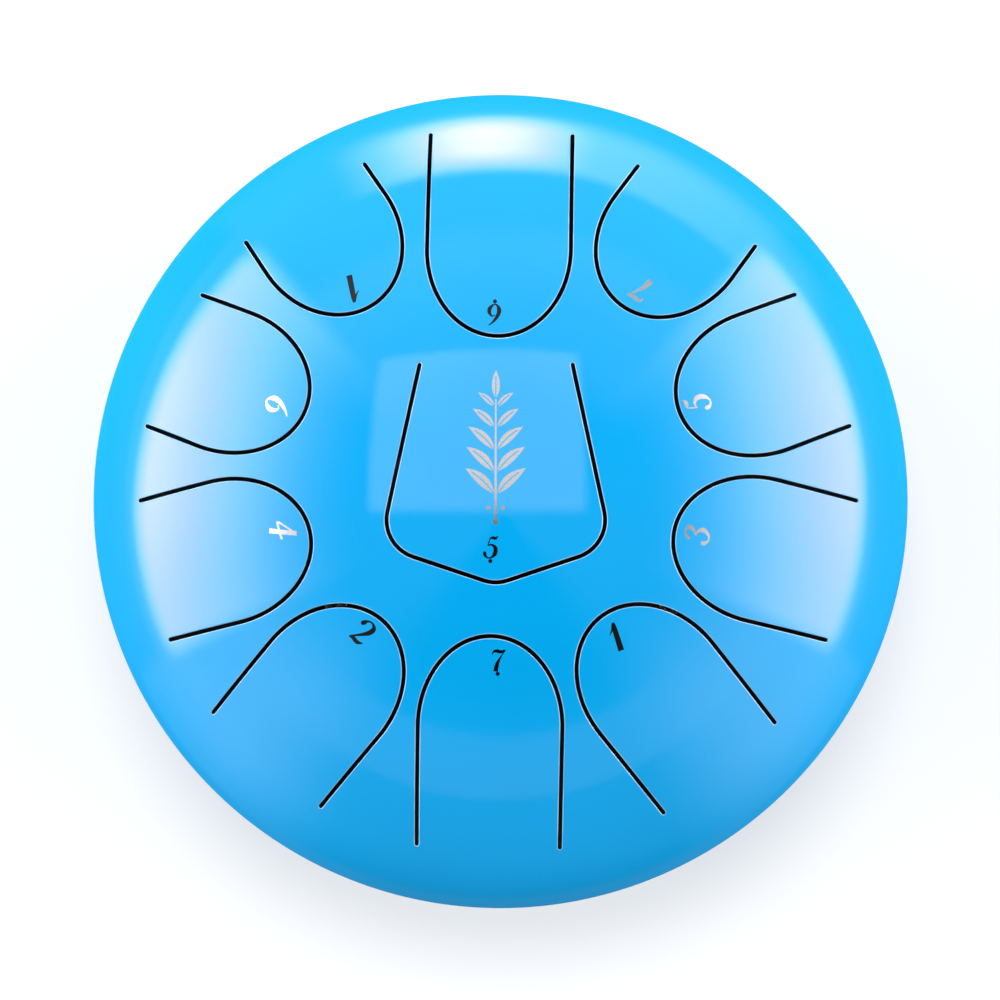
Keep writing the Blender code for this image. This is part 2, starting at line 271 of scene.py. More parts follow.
# The ornament on the middle tongue: a sprig of paired leaves with a bud.  Sizes in mm.
SPRIG_MIDDLE = (0, 15.5)
SPRIG_PAIRS = [(-16.5, 14.0), (-8.5, 13.5), (-0.5, 12.5), (7.5, 10.5), (15, 8.0)]  # height, leaf length
SPRIG_HALF = 27.5
STEM_MIDDLE = -8
STEM_WIDTHS = (0.9, 0.8, 0.5)  # at its foot, middle and top
STEM_END_RADIUS = 1.0
BUD_RISE = 2.0  # above the last pair of leaves
BERRY_PLACE = (2.6, -22.5)
BERRY_RADIUS = 0.8
LEAF_BASE = (0.5, -1)  # beside the stem, and below the pair's height
LEAF_LEAN = math.radians(48)
LEAF_PLUMP = 0.27  # greatest width as a share of the length
LEAF_SAG = 0.06  # as a share of the length
LEAF_WIDTHS = ((0, 0.02), (0.25, 0.8), (0.5, 1), (0.75, 0.7), (1, 0.02))  # shares of length and width
VEIN_SHARES = (0.02, 0.3, 0.55, 0.8)
VEIN_WIDTH = 0.4


def smooth_line(controls):
    """A Catmull-Rom curve through control points, each with its width in the third place."""
    controls = np.array(controls, float)
    padded = np.vstack([2 * controls[0] - controls[1], controls, 2 * controls[-1] - controls[-2]])
    share = np.linspace(0, 1, CURVE_STEPS + 1)[:-1, None]
    pieces = []
    for a, b, c, d in zip(padded, padded[1:], padded[2:], padded[3:]):
        pieces.append(b + 0.5 * share * (c - a + share * (2 * a - 5 * b + 4 * c - d
                                                          + share * (3 * b - a - 3 * c + d))))
    return np.vstack([*pieces, controls[-1:]])


def ribbon(controls):
    """Closed outline of a stroke."""
    line = smooth_line(controls)
    along = unit(np.gradient(line[:, :2], axis=0))
    across = np.column_stack([-along[:, 1], along[:, 0]]) * np.maximum(line[:, 2:], THINNEST) / 2
    return np.vstack([line[:, :2] - across, (line[:, :2] + across)[::-1]])


def disc(middle, radius, count=DISC_COUNT):
    angles = np.linspace(0, math.tau, count, endpoint=False)
    return np.asarray(middle) + radius * np.column_stack([np.cos(angles), np.sin(angles)])


def digit_marks(note, slot):
    """The outlines of a tongue's digit, upright towards the drum's axis, with a dot below a low note."""
    line, normal = slot
    tip = len(line) // 2
    up = -normal[tip] if note == "low_5" else normal[tip]
    out = -normal[tip]
    right = np.array((up[1], -up[0]))
    low = note.startswith("low")
    height = LOW_DIGIT_HEIGHT if low else DIGIT_HEIGHT
    sideways, outwards = DIGIT_PLACES[note]
    middle = line[tip] + (right * sideways + out * outwards) * MM
    marks = []
    for stroke in DIGITS[note[-1]]:
        shape = (ribbon(np.divide(stroke, 100)) - DIGIT_MIDDLE) * (DIGIT_STRETCH * height, height)
        marks.append(middle + shape[:, :1] * right + shape[:, 1:] * up)
    if low:
        marks.append(disc(middle - up * (height / 2 + DOT_DROP), DOT_RADIUS))
    return marks


def leaf(base, lean, length):
    """An almond-shaped leaf and its unetched vein, in mm."""
    along = np.array((math.sin(lean), math.cos(lean)))
    across = np.array((along[1], -along[0]))
    sag = LEAF_SAG * length * np.sign(lean)

    def along_leaf(share, width):
        return *(base + along * share * length - across * sag * math.sin(math.pi * share)), width

    blade = [along_leaf(share, LEAF_PLUMP * length * width) for share, width in LEAF_WIDTHS]
    vein = [along_leaf(share, VEIN_WIDTH) for share in VEIN_SHARES]
    return ribbon(blade), ribbon(vein)


def sprig_marks():
    """The outlines of the sprig, and of the veins left in enamel."""
    top = SPRIG_PAIRS[-1][0] + BUD_RISE
    stem = zip((-SPRIG_HALF, STEM_MIDDLE, top), STEM_WIDTHS)
    etched = [ribbon([(0, *place) for place in stem]), disc((0, -SPRIG_HALF), STEM_END_RADIUS)]
    kept = []
    leaves = [leaf(np.array((0, top)), 0.0, SPRIG_HALF - top)]
    for hand in (-1, 1):
        etched.append(disc(np.multiply(BERRY_PLACE, (hand, 1)), BERRY_RADIUS))
        for height, length in SPRIG_PAIRS:
            base = np.multiply(LEAF_BASE, (hand, 1)) + (0, height)
            leaves.append(leaf(base, hand * LEAF_LEAN, length))
    for blade, vein in leaves:
        etched.append(blade)
        kept.append(vein)
    return [[(shape + SPRIG_MIDDLE) * MM for shape in shapes] for shapes in (etched, kept)]


# ---- Sheets.  A sheet is a triangulation in the chart, whose edges follow the areas' outlines.

RIM_COUNT = 320
RING_MINIMUM = 6
OUTLINE_CLEARANCE = 0.55  # free points keep this share of a step away from outlines
MERGE_DISTANCE = 1e-6


def ring_points(inset, step):
    """Chart points on rings from the axis to the rim, every second ring turned by half a step."""
    end = rim_angle(inset)
    count = math.ceil(end * DRUM_RADIUS / step)
    rings = [np.zeros((1, 2))]
    for index in range(1, count):
        angle = end * index / count
        around = max(RING_MINIMUM, round(math.tau * math.sin(angle) * DRUM_RADIUS / step))
        turn = (np.arange(around) + index % 2 / 2) * math.tau / around
        rings.append(angle * np.column_stack([np.cos(turn), np.sin(turn)]))
    return np.vstack(rings)


def clear_of(points, others, distance):
    """The points that are at least this far from all the others."""
    tree = kdtree.KDTree(len(others))
    for index, (x, y) in enumerate(others):
        tree.insert((x, y, 0), index)
    tree.balance()
    return np.array([point for point in points if tree.find((*point, 0))[2] > distance])


def wraps(outline, points):
    """Whether a closed outline, which may cross itself, goes round each point."""
    near = ((points > outline.min(axis=0)) & (points < outline.max(axis=0))).all(axis=1)
    x, y = points[near].T
    turns = np.zeros(len(x), int)
    for (x0, y0), (x1, y1) in zip(outline, np.roll(outline, -1, axis=0)):
        left = (x1 - x0) * (y - y0) - (y1 - y0) * (x - x0)
        turns += (y0 <= y) & (y1 > y) & (left > 0)
        turns -= (y0 > y) & (y1 <= y) & (left < 0)
    inside = np.zeros(len(points), bool)
    inside[near] = turns != 0
    return inside


ENAMEL, RAW_AND_WALL_SHADE, ETCH_IN_SHADE, ETCH_HALF_LIT, ETCH_IN_LIGHT = range(5)  # finishes of the sheet metal; the second is also painted shade on slot and hole walls, and the last three are one etched steel in a painted-shade grey and two painted-light greys


class Sheet:
    """Triangles of one surface, cut along closed outlines.

    areas maps names to outlines, marks are pairs of a finish and an outline, and gaps are outlines
    that keep their enamel within marks.
    """

    def __init__(self, areas, side, inset, step, marks=(), gaps=()):
        self.side, self.inset = side, inset
        outlines = [*areas.values(), *(mark for _, mark in marks), *gaps]
        fixed = np.vstack([to_chart(outline, inset) for outline in outlines])
        free = clear_of(ring_points(inset, step), fixed, OUTLINE_CLEARANCE * step / DRUM_RADIUS)
        starts = np.cumsum([0] + [len(outline) for outline in outlines])
        rings = [list(range(start, end)) for start, end in zip(starts, starts[1:])]
        edges = [edge for ring in rings for edge in zip(ring, ring[1:] + ring[:1])]
        given = [Vector(point) for point in np.vstack([fixed, free])]
        chart, _, triangles, came_from, *_ = geometry.delaunay_2d_cdt(given, edges, [], 0, MERGE_DISTANCE)
        self.triangles = np.array(triangles)
        self.plan = from_chart(np.array([tuple(point) for point in chart]), inset)
        index_of = {origin: index for index, origins in enumerate(came_from) for origin in origins}
        self.index = {name: [index_of[item] for item in ring] for name, ring in zip(areas, rings)}
        for name, outline in areas.items():
            self.plan[self.index[name]] = outline
        middles = self.plan[self.triangles].mean(axis=1)
        self.inside = {name: wraps(outline, middles) for name, outline in areas.items()}
        self.finish = np.full(len(middles), ENAMEL)
        for finish, mark in marks:
            self.finish[wraps(mark, middles)] = finish
        for gap in gaps:
            self.finish[wraps(gap, middles)] = ENAMEL

    def ring(self, name):
        """An outline's vertices, with the first again at the end."""
        return self.index[name] + self.index[name][:1]

    def parts(self, name, path_count):
        """An area's path, and its root line from the path's start to the path's end."""
        ring = self.index[name]
        return ring[:path_count], [ring[0], *ring[path_count:][::-1], ring[path_count - 1]]


def placed(place, indices):
    return [place[index] for index in indices]


class Skin:
    """A mesh in the making, with a normal for every corner of every face."""

    def __init__(self):
        self.points, self.faces, self.normals, self.slots, self.edge_wear_and_glint = [], [], [], [], []

    def add(self, points, edge_wear_and_glint=0.0):
        start = len(self.points)
        self.points += [tuple(point) for point in points]
        self.edge_wear_and_glint += [edge_wear_and_glint] * len(points)
        return list(range(start, len(self.points)))

    def face(self, corners, normals, slot):
        """Adds a face, turned over if its corners run against its normals."""
        facing = geometry.normal([Vector(self.points[corner]) for corner in corners])
        order = 1 if facing.dot(Vector(np.sum(normals, axis=0))) > 0 else -1
        self.faces.append(list(corners)[::order])
        self.normals += [tuple(normal) for normal in normals][::order]
        self.slots.append(slot)

    def strip(self, first, second, first_normals, second_normals, slot):
        """Quads between two rows of vertices."""
        for index in range(len(first) - 1):
            here = slice(index, index + 2)
            normals = [*first_normals[here], *second_normals[here][::-1]]
            self.face([*first[here], *second[here][::-1]], normals, slot)

    def sheet(self, sheet, chosen, outer, slot, drop=0.0):
        """Adds the chosen triangles of a sheet, and returns where each of the sheet's vertices went."""
        triangles = sheet.triangles[chosen]
        used = np.unique(triangles)
        plan = sheet.plan[used]
        place = dict(zip(used.tolist(), self.add(surface(plan, sheet.side, sheet.inset, drop))))
        normals = dome_normals(plan, sheet.side, sheet.inset) * (1 if outer else -1)
        normal_of = dict(zip(used.tolist(), map(tuple, normals)))
        order = 1 if outer == (sheet.side > 0) else -1
        for triangle in triangles.tolist():
            corners = triangle[::order]
            self.faces.append(placed(place, corners))
            self.normals += placed(normal_of, corners)
            self.slots.append(slot)
        return place

    def to_object(self, name, materials):
        mesh = smooth_mesh(name, self.points, self.faces, *materials)
        mesh.polygons.foreach_set("material_index", self.slots)
        mesh.normals_split_custom_set(self.normals)
        edge_wear_and_glint = mesh.attributes.new("edge_wear_and_glint", "FLOAT", "POINT")
        edge_wear_and_glint.data.foreach_set("value", self.edge_wear_and_glint)
        return linked(name, mesh)


def smooth_mesh(name, points, faces, *materials):
    mesh = bpy.data.meshes.new(name)
    mesh.from_pydata(points, [], faces)
    mesh.polygons.foreach_set("use_smooth", [True] * len(faces))
    for material in materials:
        mesh.materials.append(material)
    return mesh


def linked(name, data):
    made = bpy.data.objects.new(name, data)
    bpy.context.scene.collection.objects.link(made)
    return made


# ---- Domes and tongues

# painted light: these digits get a lighter grey of the etched steel, the others the dark grey of painted
# shade
DIGITS_IN_LIGHT = ("3", "4", "5", "6", "7")
ROUND_STEPS = 3
SCREW_OPENING = 2.7 * MM
SOUND_HOLE_COUNT = 120
SCREW_OPENING_COUNT = 32
FEET = ("rear", "left", "right")
FOOT_RING_RADIUS = 75 * MM


def add_edge(skin, path, top, bottom, side):
    """Rounds a sheet's outer edge and drops to its inner surface.

    path gives the edge's plan points at a gap from the wall.
    """
    closed = top[0] == top[-1]
    toward = path(0) - path(EDGE_ROUND)
    toward = unit(np.column_stack([toward, np.zeros(len(toward))]))
    rows, row_normals = [top], dome_normals(path(EDGE_ROUND), side)
    for angle in np.linspace(0, math.pi / 2, ROUND_STEPS + 1)[1:]:
        plan = path(EDGE_ROUND * (1 - math.sin(angle)))
        points = surface(plan, side, 0, EDGE_ROUND * (1 - math.cos(angle)))
        # these rounded rows get the pale edge colour: worn paint and a painted highlight
        row = skin.add(points[:-1 if closed else None], 1.0)
        row += row[:1] if closed else []
        next_normals = unit(dome_normals(plan, side) * math.cos(angle) + toward * math.sin(angle))
        skin.strip(rows[-1], row, row_normals, next_normals, ENAMEL)
        rows.append(row)
        row_normals = next_normals
    # painted shade: the wall takes the dark unpainted steel in place of enamel
    skin.strip(rows[-1], bottom, toward, toward, RAW_AND_WALL_SHADE)
    return [*rows, bottom]


def add_walls(skin, area, path, facing, sheets, places):
    """Closes a tongue or its opening along the slot, and along the root line, which faces one way."""
    count = len(path(0))
    roots = []
    edges = []
    for sheet, place in zip(sheets, places):
        along, root = sheet.parts(area, count)
        edges.append(placed(place, along))
        roots.append(placed(place, root))
    rows = add_edge(skin, path, *edges, 1)
    wall = [(*facing, 0)] * len(roots[0])
    # painted shade: the root wall and the edge's end faces take the dark unpainted steel in place of enamel
    skin.strip(*roots, wall, wall, RAW_AND_WALL_SHADE)
    for end in (0, -1):
        skin.face([row[end] for row in rows], wall[:1] * len(rows), RAW_AND_WALL_SHADE)


def root_direction(slot):
    """The plan direction from a tongue's tip to its root."""
    line, _ = slot
    onward = (line[0] + line[-1]) / 2 - line[len(line) // 2]
    return onward / np.linalg.norm(onward)


def root_line(slot, offset):
    """Points along a tongue's root, as many at every offset."""
    line, _ = slot
    count = math.ceil(np.linalg.norm(line[-1] - line[0]) / PATH_STEP)
    start, end = tongue_path(slot, offset)[[0, -1]]
    return np.linspace(start, end, count + 1)


def slot_areas(slots, offset):
    """The closed outlines of every tongue and of every opening that holds one."""
    areas = {}
    for note, slot in slots.items():
        back = root_line(slot, offset)[::-1][1:-1]
        areas["tongue_" + note] = np.vstack([tongue_path(slot, offset), back])
        areas["opening_" + note] = np.vstack([dome_path(slot, offset), back])
    return areas


def rim_circle(inset):
    return disc((0, 0), (DRUM_RADIUS - inset) * math.sin(rim_angle(inset)), RIM_COUNT)


def begin_dome(skin, outer, inner, openings):
    """Adds a dome's two surfaces around its openings, and closes them along the rim."""
    places = []
    for sheet, finish in ((outer, ENAMEL), (inner, RAW_AND_WALL_SHADE)):
        solid = ~np.any([sheet.inside[name] for name in openings], axis=0)
        places.append(skin.sheet(sheet, solid, sheet is outer, finish))
    top, bottom = places
    facing = [(0, 0, -outer.side)] * (RIM_COUNT + 1)
    skin.strip(placed(top, outer.ring("rim")), placed(bottom, inner.ring("rim")), facing, facing, ENAMEL)
    return places


def add_etching(skin, sheet, etched, finish, top):
    """Lowers etched triangles a little and joins them to the enamel around by steep walls."""
    low = skin.sheet(sheet, etched, True, finish, ETCH_DEPTH)
    edges = {edge for a, b, c in sheet.triangles[etched].tolist() for edge in ((a, b), (b, c), (c, a))}
    for start, end in sorted(edges):
        if (end, start) not in edges:
            x, y = sheet.plan[end] - sheet.plan[start]
            inward = unit(np.array([(-y, x, 0)] * 4))
            skin.face([top[start], top[end], low[end], low[start]], inward, finish)


def build_tongue(note, slot, outer, inner, finishes):
    name = "tongue_" + note
    skin = Skin()
    top = skin.sheet(outer, outer.inside[name] & (outer.finish == ENAMEL), True, ENAMEL)
    for finish in (ETCH_IN_SHADE, ETCH_HALF_LIT, ETCH_IN_LIGHT):
        etched = outer.inside[name] & (outer.finish == finish)
        if etched.any():
            add_etching(skin, outer, etched, finish, top)
    bottom = skin.sheet(inner, inner.inside[name], False, RAW_AND_WALL_SHADE)
    onward = root_direction(slot)
    add_walls(skin, name, lambda gap: tongue_path(slot, SLOT / 2 + gap), onward,
              (outer, inner), (top, bottom))
    tongue = skin.to_object("tongue_sheet_" + note, finishes)
    start = surface(root_line(slot, SLOT / 2).mean(axis=0)[None], 1)[0]
    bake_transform(tongue)
    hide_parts(name)


def build_top(finishes):
    notes = [name.removeprefix("tongue_") for name in frame["nodes"] if name.startswith("tongue_")]
    slots = {note: middle_slot() if note == "low_5" else rim_slot(note) for note in notes}
    sprig, veins = sprig_marks()
    # painted light and shade: the sprig and each digit get a grey of one etched steel by what they reflect
    marks = [(ETCH_HALF_LIT, mark) for mark in sprig]
    for note, slot in slots.items():
        finish = ETCH_IN_LIGHT if note in DIGITS_IN_LIGHT else ETCH_IN_SHADE
        marks += [(finish, mark) for mark in digit_marks(note, slot)]
    outer_areas = {"rim": rim_circle(0), **slot_areas(slots, SLOT / 2 + EDGE_ROUND)}
    outer = Sheet(outer_areas, 1, 0, SHEET_STEP, marks, veins)
    inner = Sheet({"rim": rim_circle(WALL), **slot_areas(slots, SLOT / 2)}, 1, WALL, INNER_STEP)
    skin = Skin()
    places = begin_dome(skin, outer, inner, ["opening_" + note for note in notes])
    for note, slot in slots.items():
        add_walls(skin, "opening_" + note, lambda gap: dome_path(slot, SLOT / 2 + gap),
                  -root_direction(slot), (outer, inner), places)
    finished(skin.to_object("upper_dome_sheet", finishes[:2]), "top_shell")
    for note, slot in slots.items():
        build_tongue(note, slot, outer, inner, finishes)


def finished(piece, node):
    """A piece that is fixed to the drum and stands for a CAD node."""
    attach(piece, DRUM)
    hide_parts(node)


def foot_direction(foot):
    low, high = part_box("foot_" + foot)
    return math.atan2(low.y + high.y, low.x + high.x)


def build_bottom(finishes):
    """The lower dome, with the sound hole and three screw holes."""
    holes = {"sound_hole": ((0, 0), SOUND_HOLE_RADIUS, SOUND_HOLE_COUNT)}
    for foot in FEET:
        direction = foot_direction(foot)
        middle = FOOT_RING_RADIUS * np.array((math.cos(direction), math.sin(direction)))
        holes["screw_hole_" + foot] = (middle, SCREW_OPENING, SCREW_OPENING_COUNT)

    def hole_areas(gap):
        return {name: disc(middle, radius + gap, count) for name, (middle, radius, count) in holes.items()}

    outer = Sheet({"rim": rim_circle(0), **hole_areas(EDGE_ROUND)}, -1, 0, SHEET_STEP)
    inner = Sheet({"rim": rim_circle(WALL), **hole_areas(0)}, -1, WALL, INNER_STEP)
    skin = Skin()
    top, bottom = begin_dome(skin, outer, inner, holes)
    for name, (middle, radius, count) in holes.items():
        def path(gap):
            edge = disc(middle, radius + gap, count)
            return np.vstack([edge, edge[:1]])

        add_edge(skin, path, placed(top, outer.ring(name)), placed(bottom, inner.ring(name)), -1)
    finished(skin.to_object("lower_dome_sheet", finishes), "bottom_shell")


# ---- Turned pieces: a closed section goes round an axis.

SHARP_ANGLE = math.radians(40)


def turned(name, rows, segments, finish, matrix=Matrix.Identity(4), closed=True):
    """A row is a radius and a height, or a function of the angles.  A closed section runs down outside."""
    angles = np.linspace(0, math.tau, segments, endpoint=False)
    points = []
    for row in rows:
        radii, heights = (np.broadcast_to(value, angles.shape)
                          for value in (row(angles) if callable(row) else row))
        points.append(np.column_stack([radii * np.cos(angles), radii * np.sin(angles), heights]))
    faces = []
    count = len(rows)
    for here in range(count if closed else count - 1):
        there = (here + 1) % count
        for index in range(segments):
            onward = (index + 1) % segments
            faces.append([there * segments + index, there * segments + onward,
                          here * segments + onward, here * segments + index])
    if not closed:
        faces.append(list(range(segments)))
        faces.append(list(range((count - 1) * segments, count * segments))[::-1])
    mesh = smooth_mesh(name, [tuple(point) for point in np.vstack(points)], faces, finish)
    mesh.transform(matrix)
    mesh.set_sharp_from_angle(angle=SHARP_ANGLE)
    return linked(name, mesh)


WELD_CROWN = 0.25 * MM
WELD_GROOVE = 0.2 * MM
WELD_THICKNESS = 1.6 * MM
WELD_STEPS = 10


def build_weld(finish):
    """The ground seam that joins the domes: a low crown between two hairline grooves."""
    seam = DRUM_RADIUS * math.sin(rim_angle(0))
    rows = [(seam - WELD_THICKNESS, RIM_HEIGHT - SEAM_HALF)]
    for share in np.linspace(-1, 1, WELD_STEPS + 1):
        crown = (WELD_CROWN + WELD_GROOVE) * (1 - share ** 2) - WELD_GROOVE
        rows.append((seam + crown, RIM_HEIGHT + share * SEAM_HALF))
    rows.append((seam - WELD_THICKNESS, RIM_HEIGHT + SEAM_HALF))
    finished(turned("rim_seam", rows[::-1], RIM_COUNT, finish), "rim_weld")


# ---- Feet and their fasteners.  Heights run out of the dome along the screw's axis.

GAP = 0.1 * MM
FOOT_TOP_RADIUS = 14 * MM
FOOT_TAPER = 0.1  # radius lost per length
FOOT_ROUND = 1 * MM
# Round the side, shares of the height and depths in mm; under the base, radii and rises in mm.
FOOT_GROOVE = ((0.42, 0), (0.46, 0.5), (0.52, 0.5), (0.56, 0))
FOOT_BASE = ((10.4, 0), (10.2, 0.5), (9.4, 0.5), (9.2, 0), (7.1, 0), (6.7, 0.12), (6.5, 0.5))
FOOT_RECESS_RADIUS = 6.5 * MM
FOOT_RECESS_ROUND = 0.4 * MM
FOOT_WEB = 5 * MM
SCREW_RADIUS = 2 * MM
SCREW_HOLE_RADIUS = 2.3 * MM
SCREW_LENGTH = 15 * MM
THREAD_PITCH = 0.7 * MM
THREAD_DEPTH = 0.3 * MM
THREAD_ROWS = 6  # in each turn
POINT_STEP = 0.01 * MM
HEAD_RADIUS = 4 * MM
HEAD_HEIGHT = 3 * MM
HEAD_ROUND = 0.2 * MM
HEAD_ANGLES = np.radians(np.linspace(0, 84, 10))
CROSS_LENGTH = 4.4 * MM
CROSS_WIDTH = 1 * MM
CROSS_DEPTH = 1.7 * MM
CROSS_SHARES = (0.45, 1.25)  # its size at its foot, and 1 mm above the head
FOOT_WASHER_RADIUS = 6 * MM
INNER_WASHER_RADIUS = 4.5 * MM
WASHER_THICKNESS = 0.8 * MM
WASHER_ROUND = 0.25 * MM
NUT_WIDTH = 7 * MM
NUT_HEIGHT = 3.2 * MM
NUT_BEVEL = math.radians(30)
NUT_BORE_BEVEL = 0.3 * MM
NUT_FACE_STEP = 0.05 * MM
FOOT_SEGMENTS = 96
WASHER_SEGMENTS = 64
NUT_SEGMENTS = 72
SCREW_SEGMENTS = 48
QUARTER_TURN = np.radians((0, 30, 60, 90))
SETTLING_STEPS = 4


def foot_matrix(foot):
    """From a foot's own frame, whose z runs out of the dome, to the drum's."""
    reach = np.array([[FOOT_RING_RADIUS, 0.0]])
    normal = dome_normals(reach, -1)[0]
    lean = math.pi - math.atan2(normal[0], -normal[2])
    turn = Matrix.Rotation(foot_direction(foot), 4, "Z")
    return turn @ Matrix.Translation(surface(reach, -1)[0]) @ Matrix.Rotation(lean, 4, "Y")


def foot_rows(matrix):
    """A moulded foot.  Its top follows the dome and its base lies on the table."""
    down = np.array(matrix.to_3x3())[2]  # how the drum's height changes along the foot's own axes
    start = matrix.translation.z

    def base(radii, angles):
        return -(start + down[0] * radii * np.cos(angles) + down[1] * radii * np.sin(angles)) / down[2]

    def top(radii, angles):
        heights = np.zeros(len(angles))
        for index, angle in enumerate(angles):
            point = Vector((radii * math.cos(angle), radii * math.sin(angle), 0))
            for _ in range(SETTLING_STEPS):
                world = matrix @ point
                fall = surface(np.array([[world.x, world.y]]), -1)[0, 2] - world.z
                point.z += fall / down[2]
            heights[index] = point.z
        return heights + GAP

    def row(radius, share, offset=0.0):
        """A row at a share of the way from the top to the base, and an offset out along the axis."""
        return lambda angles: (
            radius, (1 - share) * top(radius, angles) + share * base(radius, angles) + offset)

    side = FOOT_TOP_RADIUS
    foot_end = side - FOOT_TAPER * start
    seat = GAP + FOOT_WEB
    inward, short = FOOT_ROUND * (1 - np.cos(QUARTER_TURN)), FOOT_ROUND * (1 - np.sin(QUARTER_TURN))
    rows = [row(SCREW_HOLE_RADIUS, 0), row(side / 2, 0)]
    rows += [row(side - inset, 0, below) for inset, below in zip(inward[::-1], short[::-1])]
    rows += [row(side - (side - foot_end) * share - groove * MM, share) for share, groove in FOOT_GROOVE]
    rows += [row(foot_end - inset, 1, -above) for inset, above in zip(inward, short)]
    rows += [row(radius * MM, 1, -above * MM) for radius, above in FOOT_BASE]
    rows += [(FOOT_RECESS_RADIUS, seat + FOOT_RECESS_ROUND),
             (FOOT_RECESS_RADIUS - FOOT_RECESS_ROUND, seat), (SCREW_HOLE_RADIUS, seat)]
    return rows[::-1]


def screw_rows(under_head):
    """A pan-head screw with a real helical thread, from its point to the top of its head."""
    point = under_head - SCREW_LENGTH

    def thread(height):
        def row(angles):
            wave = np.abs(((height - point) / THREAD_PITCH - angles / math.tau) % 1 - 0.5) * 2
            fade = min(1, (height - point) / THREAD_PITCH, (under_head - height) / THREAD_PITCH)
            return SCREW_RADIUS - THREAD_DEPTH * wave * max(0, fade), height
        return row

    rows = [(SCREW_RADIUS - 2 * THREAD_DEPTH, point - POINT_STEP)]
    steps = round(THREAD_ROWS * SCREW_LENGTH / THREAD_PITCH)
    rows += [thread(point + SCREW_LENGTH * step / steps) for step in range(steps + 1)]
    rows += [(HEAD_RADIUS - HEAD_ROUND, under_head), (HEAD_RADIUS, under_head + HEAD_ROUND)]
    shoulder = HEAD_HEIGHT / 2
    for turn in HEAD_ANGLES:
        rows.append((HEAD_RADIUS * math.cos(turn), under_head + shoulder + shoulder * math.sin(turn)))
    return rows


def washer_rows(radius, low):
    """A stamped washer: one rounded edge, one sharp."""
    bore, high, size = SCREW_HOLE_RADIUS, low + WASHER_THICKNESS, WASHER_ROUND
    edge = [(radius - size + size * math.cos(turn), high - size + size * math.sin(turn))
            for turn in QUARTER_TURN[::-1]]
    return [(bore, high - size), (bore + size, high), *edge, (radius, low), (bore, low)]


def nut_rows(low, high):
    """A hexagonal nut, with its corners turned off at both faces."""
    flat = NUT_WIDTH / 2

    def hexagon(angles):
        return flat / np.cos((angles + math.pi / 6) % (math.pi / 3) - math.pi / 6)

    def corner(height, inward):
        slope = inward * math.tan(NUT_BEVEL)
        return lambda angles: (hexagon(angles), height + (hexagon(angles) - flat) * slope)

    bore, bevel, face = SCREW_HOLE_RADIUS, NUT_BORE_BEVEL, flat - NUT_FACE_STEP
    return [(bore, high - bevel), (bore + bevel, high), (face, high), corner(high, -1),
            corner(low, 1), (face, low), (bore + bevel, low), (bore, low + bevel)]


def cut_cross(screw, matrix, top):
    """Sinks a tapered driver's cross into a screw's head."""
    points, faces = [], []
    for height, share in zip((top - CROSS_DEPTH, top + MM), CROSS_SHARES):
        long, short = CROSS_LENGTH / 2 * share, CROSS_WIDTH / 2 * share
        for quarter in range(4):
            spin = Matrix.Rotation(math.pi / 2 * quarter, 3, "Z")
            arm = ((long, -short), (long, short), (short, short))
            points += [spin @ Vector((x, y, height)) for x, y in arm]
    count = len(points) // 2
    for index in range(count):
        onward = (index + 1) % count
        faces.append([index, onward, count + onward, count + index])
    faces += [list(range(count))[::-1], list(range(count, 2 * count))]
    mesh = smooth_mesh("cross", points, faces)
    mesh.transform(matrix)
    cutter = linked("cross", mesh)
    cut = screw.modifiers.new("cross", "BOOLEAN")
    cut.operation, cut.solver, cut.object = "DIFFERENCE", "EXACT", cutter
    graph = bpy.context.evaluated_depsgraph_get()
    result = bpy.data.meshes.new_from_object(screw.evaluated_get(graph))
    screw.modifiers.clear()
    screw.data = result
    result.polygons.foreach_set("use_smooth", [True] * len(result.polygons))
    result.set_sharp_from_angle(angle=SHARP_ANGLE)
    bpy.data.objects.remove(cutter)


def build_foot(foot, rubber, zinc):
    matrix = foot_matrix(foot)
    washer_low = 2 * GAP + FOOT_WEB
    under_head = washer_low + WASHER_THICKNESS + GAP
    inner_washer_low = -WALL - GAP - WASHER_THICKNESS
    nut_high = inner_washer_low - GAP

    def fitted(name, node, rows, segments, finish=zinc, closed=True):
        piece = turned(f"{name}_{foot}", rows, segments, finish, matrix, closed)
        finished(piece, f"{node}_{foot}")
        return piece

    fitted("rubber_foot", "foot", foot_rows(matrix), FOOT_SEGMENTS, rubber)
    fitted("foot_plate", "foot_washer", washer_rows(FOOT_WASHER_RADIUS, washer_low), WASHER_SEGMENTS)
    fitted("nut_plate", "inner_washer", washer_rows(INNER_WASHER_RADIUS, inner_washer_low), WASHER_SEGMENTS)
    fitted("hex_nut", "nut", nut_rows(nut_high - NUT_HEIGHT, nut_high), NUT_SEGMENTS)
    screw = fitted("pan_screw", "screw", screw_rows(under_head), SCREW_SEGMENTS, closed=False)
    cut_cross(screw, matrix, under_head + HEAD_HEIGHT)


# ---- Shader graphs


